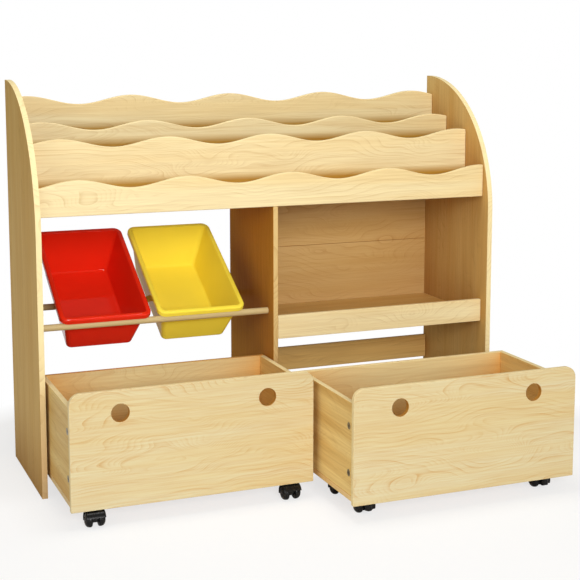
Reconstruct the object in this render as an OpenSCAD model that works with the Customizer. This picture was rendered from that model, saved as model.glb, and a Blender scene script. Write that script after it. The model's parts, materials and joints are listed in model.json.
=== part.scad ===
/* [Carcass] */
// Width over both side panels
carcass_w = 1100; // [1000:10:1400]
// Depth of the side panels
carcass_d = 320; // [310:5:380]
// Height of the side panels at the back
carcass_h = 890; // [870:10:1000]
// Thickness of every wooden board
board_t = 12; // [11:0.5:15]
// Setback of the rack, the divider and the fascia behind the panels' front edges
front_setback = 26; // [16:1:40]
// Distance from the rearmost wavy board to the panels' rear edges
rear_setback = 19; // [8:1:30]

/* [Book rack] */
// Height from the underside of the rack's floor to the top of the side panels
rack_h = 284; // [260:2:310]
// Crest height of the front wavy board above the underside of the rack's floor
front_board_h = 77; // [65:1:100]
// Crest height of the second wavy board
second_board_h = 159; // [110:1:180]
// Crest height of the third wavy board
third_board_h = 191; // [140:1:220]
// Crest height of the rearmost wavy board
back_board_h = 247; // [200:1:258]
// Clear depth of the front book pocket
front_pocket_d = 75; // [50:1:90]
// Clear depth of the middle book pocket
middle_pocket_d = 86; // [50:1:100]
// Distance from crest to crest of a wavy edge
wave_pitch = 246; // [160:2:320]
// Depth of a wave from crest to trough
wave_depth = 20; // [10:1:30]
// First crest of the front board, from the left panel's outer face
first_crest = 97; // [60:1:140]
// Sideways shift of the crests from one board to the next
crest_shift = 18; // [0:1:40]

/* [Cubby] */
// Height of the upper back board, down from the rack's floor
upper_back_h = 142; // [100:2:180]
// Thickness of the two back boards
back_t = 4; // [3:0.5:8]
// Height of the cubby shelf's underside above the ground
shelf_z = 305; // [300:1:340]
// Height of the fascia in front of the shelf
fascia_h = 54; // [35:1:90]
// How far the fascia hangs below the shelf
fascia_drop = 6; // [0:1:12]
// Height of the rear rail's lower edge above the ground
rail_z = 147; // [60:1:200]
// Height of the rear rail
rail_h = 59; // [40:1:90]

/* [Rods and bins] */
// Diameter of the two rods
rod_d = 15; // [12:0.5:20]
// Height of the front rod's axis above the ground
rod_z = 360; // [345:1:380]
// Rise of the rear rod's axis above the front rod's
rear_rod_rise = 5; // [0:1:15]
// Distance of the front rod's axis behind the panels' front edges
front_rod_y = 64; // [40:1:80]
// Depth of the blind holes that hold the rods
rod_seat = 6; // [4:0.5:8]
// Width of a bin over its rim
bin_w = 206; // [170:1:215]
// Length of a bin over its rim
bin_l = 320; // [280:1:330]
// Depth of a bin, square to its rim
bin_depth = 109; // [80:1:115]
// Tilt of a bin's rim, rising to the back
bin_tilt = 30; // [25:0.5:35]
// Wall thickness of a bin
bin_wall = 2.5; // [1.5:0.25:4]
// Width of the rim outside a bin's walls
rim_w = 8; // [7.5:0.5:15]
// Height of the rim's turned-down edge
rim_h = 12; // [6:0.5:14]
// Corner radius of the rim
rim_r = 20; // [18:1:30]
// How far the front and side walls draw in from the rim to the floor
bin_draft = 20; // [6:1:24]
// How far the rear wall draws in from the rim to the floor
bin_back_draft = 22; // [6:1:40]
// Distance from the left panel to the red bin
first_bin_gap = 48; // [10:1:55]
// Gap between the two bins
bin_gap = 15; // [6:1:50]

/* [Rolling boxes] */
// Depth of a box from its front face to its back
box_d = 300; // [260:1:305]
// Height of a box's front board
box_front_h = 244.5; // [200:0.5:252]
// Drop of the sides' top edges below the front's top edge
side_drop = 30.5; // [10:0.5:60]
// Rise of the bottom board's underside above the front's lower edge
bottom_rise = 6; // [4:0.5:12]
// Radius of the front's top corners
front_corner_r = 24; // [8:1:40]
// Diameter of the finger holes
finger_hole_d = 38; // [28:1:50]
// Distance of a finger hole's centre from the front's end
finger_hole_x = 105; // [60:1:180]
// Distance of a finger hole's centre below the front's top edge
finger_hole_drop = 47; // [35:1:80]
// Clearance between a box and each wall of its bay
box_gap = 2; // [1:0.5:5]
// Inset of the sides behind the front's ends
side_inset = 1.6; // [0.5:0.1:5]
// How far the left box is pulled out
left_pull = 214; // [0:1:600]
// How far the right box is pulled out
right_pull = 391; // [0:1:600]
// Lower cam lock's height above the front's lower edge
cam_low = 64; // [50:1:90]
// Upper cam lock's height above the front's lower edge
cam_high = 163; // [110:1:180]
// Distance of a cam lock from the board that it draws in
cam_reach = 16; // [12:1:30]
// Diameter of a cam lock
cam_d = 15; // [12:0.5:18]

/* [Casters] */
// Diameter of the wheels
wheel_d = 32; // [28:1:38]
// Width of one wheel
wheel_w = 14; // [12:0.5:17]
// Width of the web between a caster's two wheels
web_w = 12; // [10:0.5:14]
// Distance from the swivel axis to the wheel axle
trail = 24; // [22:1:26]
// Distance of a swivel axis from the end of the box
caster_x = 50; // [49:1:120]
// Distance of the front casters' swivel axes behind the box's front face
front_caster_y = 34; // [33:1:60]
// Distance of the rear casters' swivel axes behind the box's front face
rear_caster_y = 204; // [150:1:230]
// Side of the square mounting plate
plate_side = 38; // [34:1:42]
// Thickness of the mounting plate
plate_t = 2.5; // [1.5:0.25:3]

/* [Hidden] */

// Colours
pale_wood = "#eedcab";
deep_wood = "#d9b578";
rod_wood = "#cdb084";
red_plastic = "#d01e04";
yellow_plastic = "#f0d232";
black_plastic = "#161616";
steel = "#a9a9ac";

// Fit clearances
seat_gap = 0.3;
pin_gap = 0.1;
bearing_gap = 0.05;
cut = 1;

// Places in the carcass, with y counted back from the panels' front edges
function yf(y) = y - carcass_d / 2;
inner_x = carcass_w / 2 - board_t;
half_t = board_t / 2;
bay_w = inner_x - half_t;
rack_z = carcass_h - rack_h;

// Wavy boards from front to back: front face, foot above the rack's underside and crest height
wave_y = [
    front_setback,
    front_setback + board_t + front_pocket_d,
    front_setback + 2 * board_t + front_pocket_d + middle_pocket_d,
    carcass_d - rear_setback - board_t
];
wave_foot = [0, board_t, board_t, 0];
wave_crest = [front_board_h, second_board_h, third_board_h, back_board_h];
wave_steps = 90;

// Dowels
dowel_r = 4;
dowel_l = 30;
dowel_in = 8;
low_dowel = 15;
high_dowel = 13;
floor_dowel_inset = 45;
shelf_dowel_inset = 60;
fascia_dowel_inset = 12;

rack_spots = [
    for (i = [0:3]) for (z = [wave_foot[i] + low_dowel, wave_crest[i] - wave_depth - high_dowel])
        [wave_y[i] + half_t, rack_z + z],
    for (y = floor_dowel_ys()) [y, rack_z + half_t]
];
fascia_z = shelf_z - fascia_drop;
cubby_spots = [
    for (y = [front_setback + shelf_dowel_inset, carcass_d - shelf_dowel_inset]) [y, shelf_z + half_t],
    for (z = [fascia_z + fascia_dowel_inset, fascia_z + fascia_h - fascia_dowel_inset])
        [front_setback + half_t, z],
    for (z = [rail_z + low_dowel, rail_z + rail_h - low_dowel]) [carcass_d - half_t, z]
];
function floor_dowel_ys() =
    [wave_y[0] + board_t + floor_dowel_inset, wave_y[3] - floor_dowel_inset];

// Bin on its rods: the rim's front edge, its height and the rear rod, from where the front rod lies
rod_r = rod_d / 2;
rim_round = 4;
floor_round = 5;
mouth_round = 2.5;
bin_corner_r = rim_r - rim_w;
corner_steps = 8;
arc_step = 22.5;
draft_angle = atan(bin_draft / bin_depth);
rod_down = rim_h + rod_r + seat_gap;
rod_back = rim_w + bin_draft * rod_down / bin_depth - (rod_r + seat_gap) / cos(draft_angle);
bin_y = front_rod_y - rod_back * cos(bin_tilt) - rod_down * sin(bin_tilt);
bin_z = rod_z - rod_back * sin(bin_tilt) + rod_down * cos(bin_tilt);
rear_rod_down = bin_depth + rod_r + seat_gap;
rear_rod_z = rod_z + rear_rod_rise;
rear_rod_y = bin_y + (rear_rod_down + (rear_rod_z - bin_z) * cos(bin_tilt)) / sin(bin_tilt);

// Rolling boxes, s is 0 on the left and 1 on the right; the left one runs close along the divider
hood_cover = 1.5;
hood_gap = 1;
ride_gap = 1.5;
box_front_z = wheel_d + hood_gap + hood_cover + ride_gap;
box_w = bay_w - 2 * box_gap;
box_bottom_z = box_front_z + bottom_rise;
box_top_z = box_front_z + box_front_h;
side_top_z = box_top_z - side_drop;
rail_gap = 1;
closed_y = carcass_d - board_t - rail_gap - box_d;
divider_gap = 0.6;
function box_x(s) = s == 0 ? side_inset - divider_gap - half_t - box_w : half_t + box_gap;
function box_y(s) = closed_y - (s == 0 ? left_pull : right_pull);

// Cam locks and their bolts
cam_h = board_t - 2;
cam_bolt_r = 3;
bolt_grip = 9;
cam_slot = 1.6;
cam_ys = [board_t + cam_reach, box_d - board_t - cam_reach];
cam_zs = [box_front_z + cam_low, box_front_z + cam_high];

// Casters, with the wheels trailing forward, back or forward as the photo shows them
hood_r = wheel_d / 2 + hood_gap + hood_cover;
wheel_gap = 0.5;
axle_r = 2.5;
axle_z = wheel_d / 2;
hood_w = web_w + 2 * wheel_gap + 2 * wheel_w;
hood_slope = 20;
axle_half = web_w / 2 + wheel_gap + wheel_w - 3;
boss_r = 8;
boss_z = axle_z - 4;
kingpin_r = 4;
kingpin_l = 16;
caster_top = box_bottom_z - plate_t;
web_r = wheel_d / 2 - 8.5;
hood_round = 3;
tread_round = 3;
shoulder = min(0.28 * wheel_d, wheel_w - tread_round - 1);
hub_r = wheel_d / 2 - shoulder - 1;
caster_spots = [
    [caster_x, front_caster_y], [box_w - caster_x, front_caster_y],
    [caster_x, rear_caster_y], [box_w - caster_x, rear_caster_y]
];
function caster_turn(s, k) = s == 1 && k < 2 ? 0 : 180;

// Screws
screw_r = 1.75;
screw_head_r = 3.4;
screw_head_h = 1.8;
plate_screw_l = 9;
plate_screw_inset = 6;
bottom_screw_l = 30;
bottom_screw_inset = 40;

// Round bars along X at each [y, z] in a list
module bars(x, len, r, spots)
    for (p = spots) translate([x, yf(p[0]), p[1]]) rotate([0, 90, 0]) cylinder(h = len, r = r, $fn = 32);

// Blind holes for dowels in a face at x, going into the board on the side that dir names
module dowel_holes(x, dir, depth, spots)
    bars(dir > 0 ? x - cut : x - depth, depth + cut, dowel_r + pin_gap, spots);

module panel_holes(x, dir, spots) dowel_holes(x, dir, dowel_in + seat_gap, spots);

module end_holes(x, dir, spots) dowel_holes(x, dir, dowel_l - dowel_in + seat_gap, spots);

module rod_holes(x, dir) {
    d = rod_seat + seat_gap;
    bars(dir > 0 ? x - cut : x - d, d + cut, rod_r + pin_gap,
        [[front_rod_y, rod_z], [rear_rod_y, rear_rod_z]]);
}

// Outline of a side panel: upright, with its front corner swept back in a quarter circle
module panel_outline() {
    flat_h = carcass_h - carcass_d;
    square([carcass_d, flat_h]);
    translate([0, flat_h]) intersection() {
        translate([carcass_d, 0]) circle(r = carcass_d, $fn = 180);
        square(carcass_d);
    }
}

// A board standing across the depth, with its left face at x
module side_board(x, t)
    translate([x, -carcass_d / 2, 0]) rotate([90, 0, 90]) linear_extrude(t) children();

module left_side_panel() color(pale_wood) difference() {
    side_board(-carcass_w / 2, board_t) panel_outline();
    panel_holes(-inner_x, -1, rack_spots);
    rod_holes(-inner_x, -1);
}

module right_side_panel() color(pale_wood) difference() {
    side_board(inner_x, board_t) panel_outline();
    panel_holes(inner_x, 1, concat(rack_spots, cubby_spots));
}

module centre_divider() color(deep_wood) difference() {
    side_board(-half_t, board_t) translate([front_setback, 0])
        square([carcass_d - front_setback, rack_z]);
    rod_holes(-half_t, 1);
    panel_holes(half_t, -1, cubby_spots);
    floor_pins(dowel_r + pin_gap, seat_gap);
}

// Upright dowels from the divider into the rack's floor
module floor_pins(r, over)
    for (y = floor_dowel_ys())
        translate([0, yf(y), rack_z - dowel_l + dowel_in - over])
            cylinder(h = dowel_l + 2 * over, r = r, $fn = 32);

module rack_floor() color(deep_wood) difference() {
    y = wave_y[0] + board_t;
    translate([-inner_x, yf(y), rack_z]) cube([2 * inner_x, wave_y[3] - y, board_t]);
    for (dir = [-1, 1]) end_holes(dir * inner_x, -dir, rack_spots);
    floor_pins(dowel_r + pin_gap, seat_gap);
}

// Wavy board i, counted from the front
function wave_z(i, x) =
    let (crest = first_crest - carcass_w / 2 - i * crest_shift)
    wave_crest[i] - wave_depth / 2 * (1 - cos(360 * (x - crest) / wave_pitch));

module wave_board(i) color(pale_wood) difference() {
    translate([0, yf(wave_y[i]) + board_t, rack_z]) rotate([90, 0, 0]) linear_extrude(board_t)
        polygon([
            [inner_x, wave_foot[i]], [-inner_x, wave_foot[i]],
            for (k = [0:wave_steps]) let (x = inner_x * (2 * k / wave_steps - 1)) [x, wave_z(i, x)]
        ]);
    for (dir = [-1, 1]) end_holes(dir * inner_x, -dir, rack_spots);
}

// Back boards, laid over the rear edges of the divider and the right panel
module back_board(z, h)
    color(deep_wood) translate([-half_t, carcass_d / 2, z]) cube([carcass_w / 2 + half_t, back_t, h]);

// Boards between the divider and the right panel
module cubby_board(y, z, depth, h, tone) color(tone) difference() {
    translate([half_t, yf(y), z]) cube([bay_w, depth, h]);
    end_holes(half_t, 1, cubby_spots);
    end_holes(inner_x, -1, cubby_spots);
}

module rod(y, z) color(rod_wood)
    bars(-inner_x - rod_seat, bay_w + 2 * rod_seat, rod_r, [[y, z]]);

module rack_dowels() color(rod_wood) {
    bars(-inner_x - dowel_in, dowel_l, dowel_r, rack_spots);
    bars(inner_x + dowel_in - dowel_l, dowel_l, dowel_r, rack_spots);
    floor_pins(dowel_r, 0);
}

module cubby_dowels() color(rod_wood) {
    bars(half_t - dowel_in, dowel_l, dowel_r, cubby_spots);
    bars(inner_x + dowel_in - dowel_l, dowel_l, dowel_r, cubby_spots);
}

// A bin is one skin of rounded rectangles, each [depth, inset, inset at the back, corner radius]
function bin_ring(t, inset, r) =
    [t, inset + bin_draft * t / bin_depth, inset + bin_back_draft * t / bin_depth, r];

// Rounded foot of a wall, from the floor at q = 90 up to the wall at q = 0
function foot_ring(q, depth, inset, r, round) =
    bin_ring(depth - round * (1 - sin(q)), inset + round * (1 - cos(q)), r - round * (1 - cos(q)));

function rim_ring(t, inset) = [t, inset, inset, rim_r - inset];

bin_inner = rim_w + bin_wall;
bin_rings = [
    for (q = [90:-arc_step:0]) foot_ring(q, bin_depth, rim_w, bin_corner_r, floor_round),
    bin_ring(bin_wall, rim_w, bin_corner_r),
    for (q = [90:-arc_step:0]) rim_ring(
        rim_round - (rim_round - bin_wall) * sin(q), rim_round - (rim_round - bin_wall) * cos(q)),
    rim_ring(rim_h, bin_wall),
    rim_ring(rim_h, 0),
    for (q = [0:arc_step:90]) rim_ring(rim_round * (1 - sin(q)), rim_round * (1 - cos(q))),
    for (q = [90:-arc_step:0]) bin_ring(mouth_round * (1 - sin(q)),
        bin_inner - mouth_round * (1 - cos(q)), bin_corner_r - bin_wall + mouth_round * (1 - cos(q))),
    for (q = [0:arc_step:90])
        foot_ring(q, bin_depth - bin_wall, bin_inner, bin_corner_r - bin_wall, floor_round - bin_wall / 2)
];

// Points of one ring, corner after corner
function ring_points(g) = [
    for (c = [0:3]) for (k = [0:corner_steps])
        let (
            q = 90 * (c + k / corner_steps) - 180,
            x = c == 0 || c == 3 ? g[1] + g[3] : bin_w - g[1] - g[3],
            y = c < 2 ? g[1] + g[3] : bin_l - g[2] - g[3]
        )
        [x + g[3] * cos(q), y + g[3] * sin(q), -g[0]]
];

module bin(x, tone) {
    n = 4 * (corner_steps + 1);
    last = len(bin_rings) - 1;
    color(tone) translate([x, yf(bin_y), bin_z]) rotate([bin_tilt, 0, 0]) polyhedron(
        points = [for (g = bin_rings) each ring_points(g)],
        faces = [
            [for (j = [0:n - 1]) j],
            for (i = [0:last - 1]) for (j = [0:n - 1]) let (m = (j + 1) % n)
                [i * n + j, (i + 1) * n + j, (i + 1) * n + m, i * n + m],
            [for (j = [n - 1:-1:0]) last * n + j]
        ]
    );
}

// Front of a box: round top corners and two finger holes
module box_front_outline() difference() {
    r = front_corner_r;
    union() {
        square([box_w, box_front_h - r]);
        translate([r, 0]) square([box_w - 2 * r, box_front_h]);
        for (x = [r, box_w - r]) translate([x, box_front_h - r]) circle(r = r, $fn = 64);
    }
    for (x = [finger_hole_x, box_w - finger_hole_x])
        translate([x, box_front_h - finger_hole_drop]) circle(d = finger_hole_d, $fn = 64);
}

// Puts a piece that is drawn in a box's own frame, from its front left corner, in box s
module in_box(s) translate([box_x(s), yf(box_y(s)), 0]) children();

module box_front(s) color(pale_wood) in_box(s) difference() {
    translate([0, board_t, box_front_z]) rotate([90, 0, 0]) linear_extrude(board_t) box_front_outline();
    box_cam_bolts(bearing_gap);
}

// Cylinders of all the cam bolts of a box, grown by g
module box_cam_bolts(g) {
    len = bolt_grip + cam_reach;
    for (x = cam_xs()) for (z = cam_zs) {
        translate([x, board_t - bolt_grip - 2 * g, z]) rotate([-90, 0, 0])
            cylinder(h = len + 2 * g, r = cam_bolt_r + g, $fn = 32);
        translate([x, box_d - board_t + bolt_grip + 2 * g, z]) rotate([90, 0, 0])
            cylinder(h = len + 2 * g, r = cam_bolt_r + g, $fn = 32);
    }
}

function cam_xs() = [side_inset + half_t, box_w - side_inset - half_t];

// Cylinders of all the cam locks, grown by g
module box_cams(g)
    for (y = cam_ys) for (z = cam_zs) {
        translate([side_inset - (g > 0 ? cut : 0), y, z]) rotate([0, 90, 0])
            cylinder(h = cam_h + g + (g > 0 ? cut : 0), d = cam_d + 2 * g, $fn = 48);
        translate([box_w - side_inset - cam_h - g, y, z]) rotate([0, 90, 0])
            cylinder(h = cam_h + g + (g > 0 ? cut : 0), d = cam_d + 2 * g, $fn = 48);
    }

module box_side(s, right) color(deep_wood) in_box(s) difference() {
    x = right ? box_w - side_inset - board_t : side_inset;
    z = box_bottom_z + board_t;
    translate([x, board_t, z]) cube([board_t, box_d - 2 * board_t, side_top_z - z]);
    box_cams(pin_gap);
    box_cam_bolts(pin_gap);
    box_bottom_screws(pin_gap);
}

module box_back(s) color(deep_wood) in_box(s) difference() {
    z = box_bottom_z + board_t;
    translate([side_inset, box_d - board_t, z]) cube([box_w - 2 * side_inset, board_t, side_top_z - z]);
    box_cam_bolts(bearing_gap);
    box_bottom_screws(pin_gap);
}

module box_bottom(s) color(deep_wood) in_box(s) difference() {
    translate([side_inset, board_t, box_bottom_z]) cube([box_w - 2 * side_inset, box_d - board_t, board_t]);
    box_plate_screws(pin_gap);
    box_bottom_screws(pin_gap);
}

// Cam locks with a cross recess in the face and a bore for the bolt's head
module box_cam_locks(s) color(steel) in_box(s) difference() {
    box_cams(0);
    box_cam_bolts(pin_gap);
    for (x = [side_inset, box_w - side_inset]) for (y = cam_ys) for (z = cam_zs)
        for (a = [0, 90]) translate([x, y, z]) rotate([a, 0, 0])
            cube([2 * cam_slot, 0.6 * cam_d, cam_slot], center = true);
}

// Round-headed screws through the casters' mounting plates
module box_plate_screws(g)
    for (p = caster_spots) for (dx = [-1, 1]) for (dy = [-1, 1]) {
        d = plate_side / 2 - plate_screw_inset;
        translate([p[0] + dx * d, p[1] + dy * d, caster_top - (g > 0 ? cut : 0)])
            cylinder(h = plate_t + plate_screw_l + g + (g > 0 ? cut : 0), r = screw_r + g, $fn = 24);
    }

module box_plate_screw_heads()
    for (p = caster_spots) for (dx = [-1, 1]) for (dy = [-1, 1]) {
        d = plate_side / 2 - plate_screw_inset;
        translate([p[0] + dx * d, p[1] + dy * d, caster_top - screw_head_h])
            cylinder(h = screw_head_h, r1 = screw_head_r - 0.8, r2 = screw_head_r, $fn = 24);
    }

// Countersunk screws up through the bottom board into the sides and the back
function bottom_screw_spots() = [
    for (x = cam_xs()) for (y = [board_t + bottom_screw_inset, box_d / 2, box_d - board_t - bottom_screw_inset])
        [x, y],
    for (x = [0.2 * box_w, 0.5 * box_w, 0.8 * box_w]) [x, box_d - half_t]
];

module box_bottom_screws(g)
    for (p = bottom_screw_spots()) translate([p[0], p[1], box_bottom_z]) {
        translate([0, 0, g > 0 ? -cut : 0]) cylinder(h = bottom_screw_l + g + (g > 0 ? cut : 0),
            r = screw_r + g, $fn = 24);
        cylinder(h = screw_head_r - screw_r, r1 = screw_head_r + g, r2 = screw_r + g, $fn = 24);
    }

module box_screws(s) color(steel) in_box(s) {
    box_plate_screws(0);
    box_plate_screw_heads();
    box_bottom_screws(0);
}

module box_caster_plates(s) color(steel) in_box(s) difference() {
    for (p = caster_spots) translate([p[0], p[1], 0]) {
        translate([-plate_side / 2, -plate_side / 2, caster_top]) cube([plate_side, plate_side, plate_t]);
        translate([0, 0, caster_top - kingpin_l]) cylinder(h = kingpin_l + plate_t / 2, r = kingpin_r, $fn = 48);
    }
    box_plate_screws(pin_gap);
}

// Puts a caster's piece, drawn with its swivel axis at the origin, at spot k of box s
module at_caster(s, k)
    in_box(s) translate([caster_spots[k][0], caster_spots[k][1], 0]) rotate([0, 0, caster_turn(s, k)])
        children();

module across(y, z, r, w)
    translate([-w / 2, y, z]) rotate([0, 90, 0]) cylinder(h = w, r = r, $fn = 64);

// Slab of a caster, w wide, with its outline drawn in y and z
module slab(w) translate([-w / 2, 0, 0]) rotate([90, 0, 90]) linear_extrude(w) children();

// Keeps what lies above a plane through the axle that rises towards the rear
module above_axle() difference() {
    children();
    translate([0, trail, axle_z]) rotate([hood_slope, 0, 0]) translate([-hood_w, -2 * hood_r, -2 * hood_r])
        cube([2 * hood_w, 4 * hood_r, 2 * hood_r]);
}

// Section of the curved cover from radius and width, with its two ends turned in
function cover_end(dir, r, angles) = [
    for (q = angles)
        [hood_r - hood_round + r * cos(q), dir * (hood_w / 2 - hood_round + r * sin(q))]
];
cover_profile = concat(
    cover_end(-1, hood_round, [90:-15:0]), cover_end(1, hood_round, [0:15:90]),
    cover_end(1, hood_round - hood_cover, [90:-15:0]), cover_end(-1, hood_round - hood_cover, [0:15:90])
);

// Hood: a web between the wheels, a curved cover over them and the swivel boss
module caster_hood(s, k) color(black_plastic) at_caster(s, k) difference() {
    union() {
        above_axle() translate([0, trail, axle_z]) rotate([0, 90, 0])
            rotate_extrude($fn = 96) polygon(cover_profile);
        above_axle() across(trail, axle_z, hood_r - hood_cover / 2, web_w);
        slab(web_w) {
            translate([trail, axle_z]) circle(r = web_r, $fn = 64);
            translate([0, boss_z]) square([trail, axle_z + hood_r - hood_cover - boss_z]);
        }
        translate([0, 0, boss_z]) cylinder(h = caster_top - seat_gap - boss_z, r = boss_r, $fn = 64);
    }
    across(trail, axle_z, axle_r + bearing_gap, hood_w);
    translate([0, 0, caster_top - kingpin_l - seat_gap])
        cylinder(h = kingpin_l + seat_gap + cut, r = kingpin_r + bearing_gap, $fn = 64);
}

// Half profile of a wheel: radius along x, width along y, with a domed outer face and a hub ring
function wheel_profile() = [
    [axle_r + bearing_gap, 0],
    for (q = [90:-30:0]) [wheel_d / 2 - tread_round * (1 - cos(q)), tread_round * (1 - sin(q))],
    for (q = [0:15:90]) [wheel_d / 2 - shoulder * (1 - cos(q)), wheel_w - shoulder * (1 - sin(q))],
    [hub_r + 0.5, wheel_w], [hub_r, wheel_w - 1], [hub_r - 1, wheel_w - 1], [hub_r - 1.5, wheel_w], [0, wheel_w],
    [0, wheel_w - 2.8], [axle_r + bearing_gap, wheel_w - 2.8]
];

module caster_wheels(s, k) at_caster(s, k) {
    color(black_plastic) for (dir = [-1, 1])
        translate([dir * (web_w / 2 + wheel_gap), trail, axle_z]) rotate([0, dir * 90, 0])
            rotate_extrude($fn = 72) polygon(wheel_profile());
    color(steel) across(trail, axle_z, axle_r, 2 * axle_half);
}

left_side_panel();
right_side_panel();
centre_divider();
rack_floor();
wave_board(0);  // front_wave_board
wave_board(1);  // second_wave_board
wave_board(2);  // third_wave_board
wave_board(3);  // back_wave_board
back_board(rack_z - upper_back_h, upper_back_h);  // upper_back_board
back_board(shelf_z, rack_z - upper_back_h - shelf_z);  // lower_back_board
cubby_board(front_setback + board_t, shelf_z, carcass_d - front_setback - board_t, board_t, deep_wood);  // cubby_shelf
cubby_board(front_setback, fascia_z, board_t, fascia_h, pale_wood);  // shelf_fascia
cubby_board(carcass_d - board_t, rail_z, board_t, rail_h, deep_wood);  // rear_rail
rod(front_rod_y, rod_z);  // front_rod
rod(rear_rod_y, rear_rod_z);  // rear_rod
rack_dowels();
cubby_dowels();
bin(first_bin_gap - inner_x, red_plastic);  // red_bin
bin(first_bin_gap - inner_x + bin_w + bin_gap, yellow_plastic);  // yellow_bin
for (s = [0, 1]) {
    name = str(s == 0 ? "left" : "right", "_box_");
    box_front(s);
    box_back(s);
    box_side(s, false);
    box_side(s, true);
    box_bottom(s);
    box_cam_locks(s);
    color(steel) in_box(s) box_cam_bolts(0);
    box_caster_plates(s);
    box_screws(s);
    for (k = [0:3]) {
        caster_hood(s, k);
        caster_wheels(s, k);
    }
}
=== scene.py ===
import json
import math

import bmesh
import bpy
from mathutils import Matrix, Vector

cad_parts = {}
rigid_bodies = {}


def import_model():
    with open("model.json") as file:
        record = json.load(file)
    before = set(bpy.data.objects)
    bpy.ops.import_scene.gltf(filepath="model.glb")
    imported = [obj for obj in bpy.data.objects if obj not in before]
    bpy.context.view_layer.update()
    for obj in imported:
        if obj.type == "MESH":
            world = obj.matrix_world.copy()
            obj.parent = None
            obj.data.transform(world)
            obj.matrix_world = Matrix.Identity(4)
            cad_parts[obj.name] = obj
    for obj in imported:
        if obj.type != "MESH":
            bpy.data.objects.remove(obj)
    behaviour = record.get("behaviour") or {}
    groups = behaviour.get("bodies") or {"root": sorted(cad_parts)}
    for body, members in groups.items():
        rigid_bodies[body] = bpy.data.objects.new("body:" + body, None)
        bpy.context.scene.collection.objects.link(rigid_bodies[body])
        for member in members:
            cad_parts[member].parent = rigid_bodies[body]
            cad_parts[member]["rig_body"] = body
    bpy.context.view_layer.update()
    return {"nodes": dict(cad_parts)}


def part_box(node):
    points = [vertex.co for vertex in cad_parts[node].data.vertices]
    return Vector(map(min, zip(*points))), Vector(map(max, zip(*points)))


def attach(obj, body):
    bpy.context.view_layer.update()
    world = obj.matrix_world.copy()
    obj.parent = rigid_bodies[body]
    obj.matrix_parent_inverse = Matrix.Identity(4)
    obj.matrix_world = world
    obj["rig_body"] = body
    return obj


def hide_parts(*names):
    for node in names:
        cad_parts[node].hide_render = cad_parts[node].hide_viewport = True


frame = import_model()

bl_info = {
    "name": "Child's bookcase with rolling boxes",
    "version": (1, 0, 0),
    "blender": (4, 5, 0),
    "location": "View3D > Sidebar > Bookcase",
    "description": "Models a child's bookcase with bins and rolling boxes around its CAD frame",
    "category": "Object",
}

NODES = frame["nodes"]
SIDES = ("left", "right")
WAVE_BOARDS = ("front_wave_board", "second_wave_board", "third_wave_board", "back_wave_board")
X, Y, Z = range(3)
# Points this close lie in one plane, and a direction with this share of an axis runs along it
NEAR = 1e-4
ALONG = 0.9


def box_of(node):
    """Lowest and highest corner of a CAD node."""
    low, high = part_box(node)
    return Vector(low), Vector(high)


def points_of(node):
    return [v.co for v in NODES[node].data.vertices]


def halfway(values):
    return (min(values) + max(values)) / 2


def half_span(values):
    return (max(values) - min(values)) / 2


def body_of(node):
    return NODES[node]["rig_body"]


# Modelling helpers


def deselect_all():
    for other in bpy.context.selected_objects:
        other.select_set(False)


def activate(obj):
    """Makes an object the active one and the only selected one."""
    deselect_all()
    obj.select_set(True)
    bpy.context.view_layer.objects.active = obj


def pick(obj, kind, test):
    """In edit mode, selects the edges or faces whose middle and direction pass a test."""
    bpy.ops.mesh.select_mode(type=kind)
    bpy.ops.mesh.select_all(action="DESELECT")
    mesh = bmesh.from_edit_mesh(obj.data)
    count = 0
    for part in mesh.faces if kind == "FACE" else mesh.edges:
        if kind == "FACE":
            middle, way = part.calc_center_median(), part.normal
        else:
            a, b = (v.co for v in part.verts)
            middle, way = (a + b) / 2, (b - a).normalized()
        if test(middle, way):
            part.select = True
            count += 1
    bmesh.update_edit_mesh(obj.data)
    if not count:
        raise RuntimeError(f"{obj.name}: nothing to select")


def settle(name):
    """Names the primitive just added, and puts its place and size into its mesh."""
    bpy.ops.object.transform_apply(location=True, rotation=True, scale=True)
    obj = bpy.context.object
    obj.name = name
    obj.data.name = name
    return obj


def cube(name, low, high):
    """A cube between two corners."""
    deselect_all()
    bpy.ops.mesh.primitive_cube_add(size=1, location=(low + high) / 2, scale=high - low)
    return settle(name)


def cylinder(name, middle, axis, radius, length, sides=48):
    """A cylinder that lies along X or Y."""
    deselect_all()
    turn = (0, math.pi / 2, 0) if axis == X else (math.pi / 2, 0, 0)
    bpy.ops.mesh.primitive_cylinder_add(vertices=sides, radius=radius, depth=length,
                                        location=middle, rotation=turn)
    return settle(name)


def apply_modifier(obj, kind, **settings):
    activate(obj)
    mod = obj.modifiers.new(kind.title(), kind)
    for key, value in settings.items():
        setattr(mod, key, value)
    bpy.ops.object.modifier_apply(modifier=mod.name)


def round_edges(obj, width, segments=3):
    """Rounds all edges sharper than 35 degrees."""
    apply_modifier(obj, "BEVEL", width=width, segments=segments, limit_method="ANGLE",
                   angle_limit=math.radians(35), use_clamp_overlap=True)


def drill(obj, middle, axis, radius, length, sides=48):
    """Cuts a round hole along X or Y into a piece."""
    cutter = cylinder("cutter", middle, axis, radius, length, sides)
    apply_modifier(obj, "BOOLEAN", operation="DIFFERENCE", object=cutter, solver="EXACT")
    bpy.data.objects.remove(cutter)


def finish_piece(obj, node, material, smooth=40):
    """Smooth shading, material and place in the frame of a finished piece."""
    activate(obj)
    bpy.ops.object.shade_smooth_by_angle(angle=math.radians(smooth))
    apply_modifier(obj, "WEIGHTED_NORMAL", keep_sharp=True, weight=100)
    obj.data.materials.clear()
    obj.data.materials.append(material)
    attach(obj, body_of(node))
    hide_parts(node)


def dress(node, material):
    """Gives a CAD node that keeps its shape its finish."""
    obj = NODES[node]
    obj.data.materials.clear()
    obj.data.materials.append(material)


# Materials


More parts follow.
